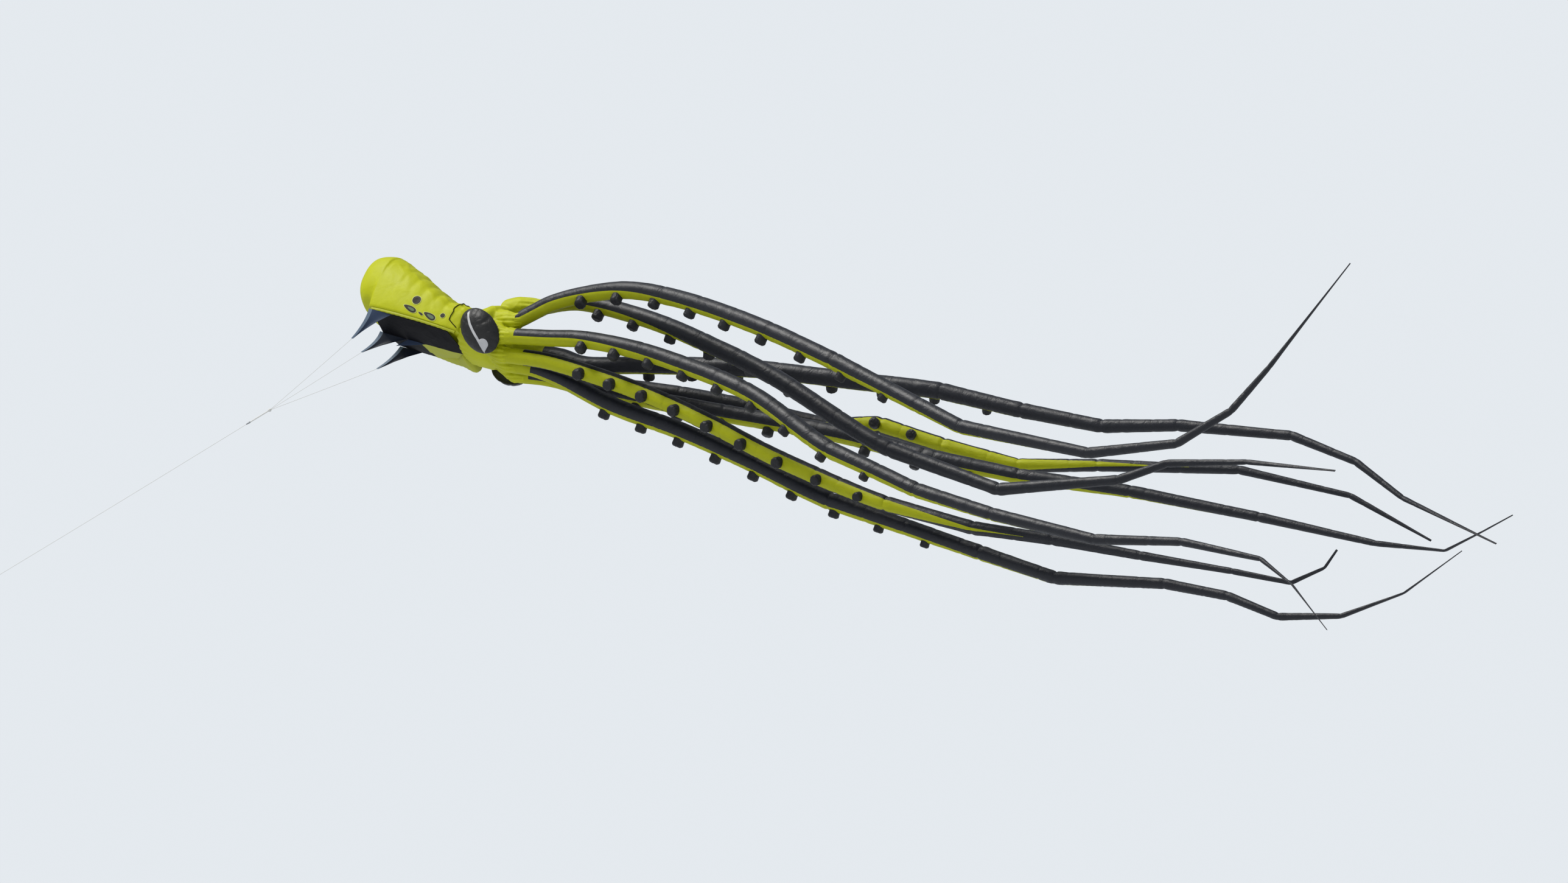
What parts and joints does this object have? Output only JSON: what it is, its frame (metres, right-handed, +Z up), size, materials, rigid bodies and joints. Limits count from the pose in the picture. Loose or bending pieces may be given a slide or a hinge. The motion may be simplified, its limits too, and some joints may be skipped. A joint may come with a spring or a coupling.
{
  "type": "octopus kite",
  "caption": "Soft inflated octopus kite: balloon mantle with keels and bridle, head with padded eyes, and long jointed arms streaming behind.",
  "frame": {"origin": "the tow point, where the three bridle lines meet in their knot", "axes": "+X downwind, from the tow point towards the arm tips; +Y to starboard; +Z up, with the body pitched nose-up 27 degrees"},
  "size_m": [18.2364, 4.6177, 8.1335],
  "materials": {
    "yellow_cloth": "fluorescent yellow ripstop nylon",
    "shade_cloth": "darker yellow ripstop nylon",
    "black_cloth": "black ripstop nylon",
    "keel_cloth": "dark navy ripstop nylon",
    "pale_cloth": "pale grey translucent ripstop nylon",
    "eye_cloth": "black padded nylon with a silver mark",
    "mesh_cloth": "open black mesh",
    "cord": "white braided polyester",
    "steel": "dull stainless steel"
  },
  "bodies": {
    "kite": {"mantle": "yellow_cloth", "belly_panel": "black_cloth", "port_side_strip": "shade_cloth", "starboard_side_strip": "shade_cloth", "intake_mesh": "mesh_cloth", "neck_piping": "black_cloth", "head": "yellow_cloth", "rear_bulkhead": "yellow_cloth", "port_eye_pad": "eye_cloth", "starboard_eye_pad": "eye_cloth", "port_keel": "keel_cloth", "port_keel_edge": "pale_cloth", "starboard_keel": "keel_cloth", "starboard_keel_edge": "pale_cloth", "centre_keel": "keel_cloth", "centre_keel_edge": "pale_cloth", "centre_keel_gusset": "pale_cloth", "port_bridle_line": "cord", "centre_bridle_line": "cord", "starboard_bridle_line": "cord", "tow_knot": "cord", "tow_sleeve": "cord", "swivel_barrel": "steel", "port_upper_arm_socket": "yellow_cloth", "top_arm_socket": "yellow_cloth", "port_side_arm_socket": "yellow_cloth", "port_lower_arm_socket": "yellow_cloth", "bottom_arm_socket": "yellow_cloth", "starboard_upper_arm_socket": "yellow_cloth", "starboard_side_arm_socket": "yellow_cloth", "starboard_lower_arm_socket": "yellow_cloth"},
    "port_upper_arm_inner": {"port_upper_arm_inner": "black_cloth"},
    "port_upper_arm_middle": {"port_upper_arm_middle": "black_cloth"},
    "port_upper_arm_outer": {"port_upper_arm_outer": "black_cloth"},
    "top_arm_inner": {"top_arm_inner": "black_cloth"},
    "top_arm_middle": {"top_arm_middle": "black_cloth"},
    "top_arm_outer": {"top_arm_outer": "black_cloth"},
    "port_side_arm_inner": {"port_side_arm_inner": "black_cloth"},
    "port_side_arm_middle": {"port_side_arm_middle": "black_cloth"},
    "port_side_arm_outer": {"port_side_arm_outer": "black_cloth"},
    "port_lower_arm_inner": {"port_lower_arm_inner": "black_cloth"},
    "port_lower_arm_middle": {"port_lower_arm_middle": "black_cloth"},
    "port_lower_arm_outer": {"port_lower_arm_outer": "black_cloth"},
    "bottom_arm_inner": {"bottom_arm_inner": "black_cloth"},
    "bottom_arm_middle": {"bottom_arm_middle": "black_cloth"},
    "bottom_arm_outer": {"bottom_arm_outer": "black_cloth"},
    "starboard_upper_arm_inner": {"starboard_upper_arm_inner": "black_cloth"},
    "starboard_upper_arm_middle": {"starboard_upper_arm_middle": "black_cloth"},
    "starboard_upper_arm_outer": {"starboard_upper_arm_outer": "black_cloth"},
    "starboard_side_arm_inner": {"starboard_side_arm_inner": "black_cloth"},
    "starboard_side_arm_middle": {"starboard_side_arm_middle": "black_cloth"},
    "starboard_side_arm_outer": {"starboard_side_arm_outer": "black_cloth"},
    "starboard_lower_arm_inner": {"starboard_lower_arm_inner": "black_cloth"},
    "starboard_lower_arm_middle": {"starboard_lower_arm_middle": "black_cloth"},
    "starboard_lower_arm_outer": {"starboard_lower_arm_outer": "black_cloth"},
    "line": {"swivel_eye": "steel", "flying_line": "cord", "line_end_loop": "cord"}
  },
  "joints": [
    {"name": "port_upper_arm_root", "type": "hinge", "parent": "kite", "child": "port_upper_arm_inner", "pos_m": [3.33494, -0.34487, 0.34], "axis": [0.0668, 0.9976, 0.0193], "range_deg": [-10, 3], "stiffness_Nm_per_rad": 3000, "springref_deg": -0.64},
    {"name": "port_upper_arm_elbow", "type": "hinge", "parent": "port_upper_arm_inner", "child": "port_upper_arm_middle", "pos_m": [7.26456, -0.99506, -1.39415], "axis": [0.0877, 0.9937, -0.0691], "range_deg": [-12, 12], "stiffness_Nm_per_rad": 900, "springref_deg": -0.82},
    {"name": "port_upper_arm_wrist", "type": "hinge", "parent": "port_upper_arm_middle", "child": "port_upper_arm_outer", "pos_m": [10.6582, -1.4885, -3.66716], "axis": [0.1327, 0.9901, -0.0466], "range_deg": [-16, 16], "stiffness_Nm_per_rad": 120, "springref_deg": -1.6},
    {"name": "top_arm_root", "type": "hinge", "parent": "kite", "child": "top_arm_inner", "pos_m": [3.50116, -0.04631, 0.60388], "axis": [0.0414, 0.9991, -0.0017], "range_deg": [-10, 3], "stiffness_Nm_per_rad": 3000, "springref_deg": -0.48},
    {"name": "top_arm_elbow", "type": "hinge", "parent": "top_arm_inner", "child": "top_arm_middle", "pos_m": [6.79729, -0.20806, -1.45765], "axis": [0.0324, 0.999, -0.0308], "range_deg": [-12, 12], "stiffness_Nm_per_rad": 900, "springref_deg": -0.64},
    {"name": "top_arm_wrist", "type": "hinge", "parent": "top_arm_middle", "child": "top_arm_outer", "pos_m": [9.81924, -0.37568, -3.37408], "axis": [0.0524, 0.9986, -0.0083], "range_deg": [-16, 16], "stiffness_Nm_per_rad": 120, "springref_deg": -1.32},
    {"name": "port_side_arm_root", "type": "hinge", "parent": "kite", "child": "port_side_arm_inner", "pos_m": [3.23514, -0.40486, 0.05929], "axis": [0.0292, 0.9995, -0.0087], "range_deg": [-3, 10], "stiffness_Nm_per_rad": 3000, "springref_deg": -0.57},
    {"name": "port_side_arm_elbow", "type": "hinge", "parent": "port_side_arm_inner", "child": "port_side_arm_middle", "pos_m": [6.94232, -0.72322, -2.19924], "axis": [0.0401, 0.9983, -0.042], "range_deg": [-12, 12], "stiffness_Nm_per_rad": 900, "springref_deg": -0.73},
    {"name": "port_side_arm_wrist", "type": "hinge", "parent": "port_side_arm_middle", "child": "port_side_arm_outer", "pos_m": [10.30801, -1.03111, -4.42689], "axis": [0.0814, 0.9959, -0.0395], "range_deg": [-16, 16], "stiffness_Nm_per_rad": 120, "springref_deg": -1.41},
    {"name": "port_lower_arm_root", "type": "hinge", "parent": "kite", "child": "port_lower_arm_inner", "pos_m": [3.15505, -0.2456, -0.10121], "axis": [0.0062, 1, -0.0022], "range_deg": [-3, 10], "stiffness_Nm_per_rad": 3000, "springref_deg": -0.46},
    {"name": "port_lower_arm_elbow", "type": "hinge", "parent": "port_lower_arm_inner", "child": "port_lower_arm_middle", "pos_m": [6.49703, -0.08304, -2.16997], "axis": [-0.0414, 0.9987, 0.0284], "range_deg": [-12, 12], "stiffness_Nm_per_rad": 900, "springref_deg": -0.61},
    {"name": "port_lower_arm_wrist", "type": "hinge", "parent": "port_lower_arm_middle", "child": "port_lower_arm_outer", "pos_m": [9.7407, 0.07976, -3.78557], "axis": [-0.0426, 0.999, 0.0161], "range_deg": [-16, 16], "stiffness_Nm_per_rad": 120, "springref_deg": -1.12},
    {"name": "bottom_arm_root", "type": "hinge", "parent": "kite", "child": "bottom_arm_inner", "pos_m": [3.15038, -0.01544, -0.11028], "axis": [-0.0286, 0.9995, 0.0105], "range_deg": [-3, 10], "stiffness_Nm_per_rad": 3000, "springref_deg": -0.63},
    {"name": "bottom_arm_elbow", "type": "hinge", "parent": "bottom_arm_inner", "child": "bottom_arm_middle", "pos_m": [6.89406, 0.25276, -2.57642], "axis": [-0.0446, 0.9986, 0.0279], "range_deg": [-12, 12], "stiffness_Nm_per_rad": 900, "springref_deg": -0.87},
    {"name": "bottom_arm_wrist", "type": "hinge", "parent": "bottom_arm_middle", "child": "bottom_arm_outer", "pos_m": [10.60487, 0.4754, -4.30446], "axis": [-0.0582, 0.9982, 0.0129], "range_deg": [-16, 16], "stiffness_Nm_per_rad": 120, "springref_deg": -1.59},
    {"name": "starboard_upper_arm_root", "type": "hinge", "parent": "kite", "child": "starboard_upper_arm_inner", "pos_m": [3.30712, 0.29887, 0.19588], "axis": [0.0095, 0.9999, -0.0039], "range_deg": [-10, 3], "stiffness_Nm_per_rad": 3000, "springref_deg": -0.63},
    {"name": "starboard_upper_arm_elbow", "type": "hinge", "parent": "starboard_upper_arm_inner", "child": "starboard_upper_arm_middle", "pos_m": [7.48249, 0.64199, -0.94802], "axis": [-0.076, 0.9969, 0.0217], "range_deg": [-12, 12], "stiffness_Nm_per_rad": 900, "springref_deg": -0.81},
    {"name": "starboard_upper_arm_wrist", "type": "hinge", "parent": "starboard_upper_arm_middle", "child": "starboard_upper_arm_outer", "pos_m": [11.27488, 0.97546, -2.13981], "axis": [-0.0774, 0.9968, 0.0177], "range_deg": [-16, 16], "stiffness_Nm_per_rad": 120, "springref_deg": -1.35},
    {"name": "starboard_side_arm_root", "type": "hinge", "parent": "kite", "child": "starboard_side_arm_inner", "pos_m": [3.20181, 0.43436, 0.02188], "axis": [-0.3842, 0.9175, 0.1025], "range_deg": [-3, 10], "stiffness_Nm_per_rad": 3000, "springref_deg": -0.47},
    {"name": "starboard_side_arm_elbow", "type": "hinge", "parent": "starboard_side_arm_inner", "child": "starboard_side_arm_middle", "pos_m": [6.80606, 1.16253, -1.0555], "axis": [-0.1713, 0.9852, 0.0071], "range_deg": [-12, 12], "stiffness_Nm_per_rad": 900, "springref_deg": -0.63},
    {"name": "starboard_side_arm_wrist", "type": "hinge", "parent": "starboard_side_arm_middle", "child": "starboard_side_arm_outer", "pos_m": [10.12981, 1.88431, -1.91394], "axis": [-0.2105, 0.9773, 0.0225], "range_deg": [-16, 16], "stiffness_Nm_per_rad": 120, "springref_deg": -1.13},
    {"name": "starboard_lower_arm_root", "type": "hinge", "parent": "kite", "child": "starboard_lower_arm_inner", "pos_m": [3.14687, 0.2267, -0.10783], "axis": [-0.1381, 0.9898, 0.0338], "range_deg": [-3, 10], "stiffness_Nm_per_rad": 3000, "springref_deg": -0.6},
    {"name": "starboard_lower_arm_elbow", "type": "hinge", "parent": "starboard_lower_arm_inner", "child": "starboard_lower_arm_middle", "pos_m": [7.18357, 0.83056, -1.5484], "axis": [-0.1073, 0.993, 0.0494], "range_deg": [-12, 12], "stiffness_Nm_per_rad": 900, "springref_deg": -0.76},
    {"name": "starboard_lower_arm_wrist", "type": "hinge", "parent": "starboard_lower_arm_middle", "child": "starboard_lower_arm_outer", "pos_m": [10.89979, 1.34134, -2.8753], "axis": [-0.1081, 0.9933, 0.041], "range_deg": [-16, 16], "stiffness_Nm_per_rad": 120, "springref_deg": -1.35},
    {"name": "line_swivel", "type": "hinge", "parent": "kite", "child": "line", "pos_m": [-0.26962, 0, -0.11723], "axis": [-0.9171, 0, -0.3987], "continuous": true}
  ]
}
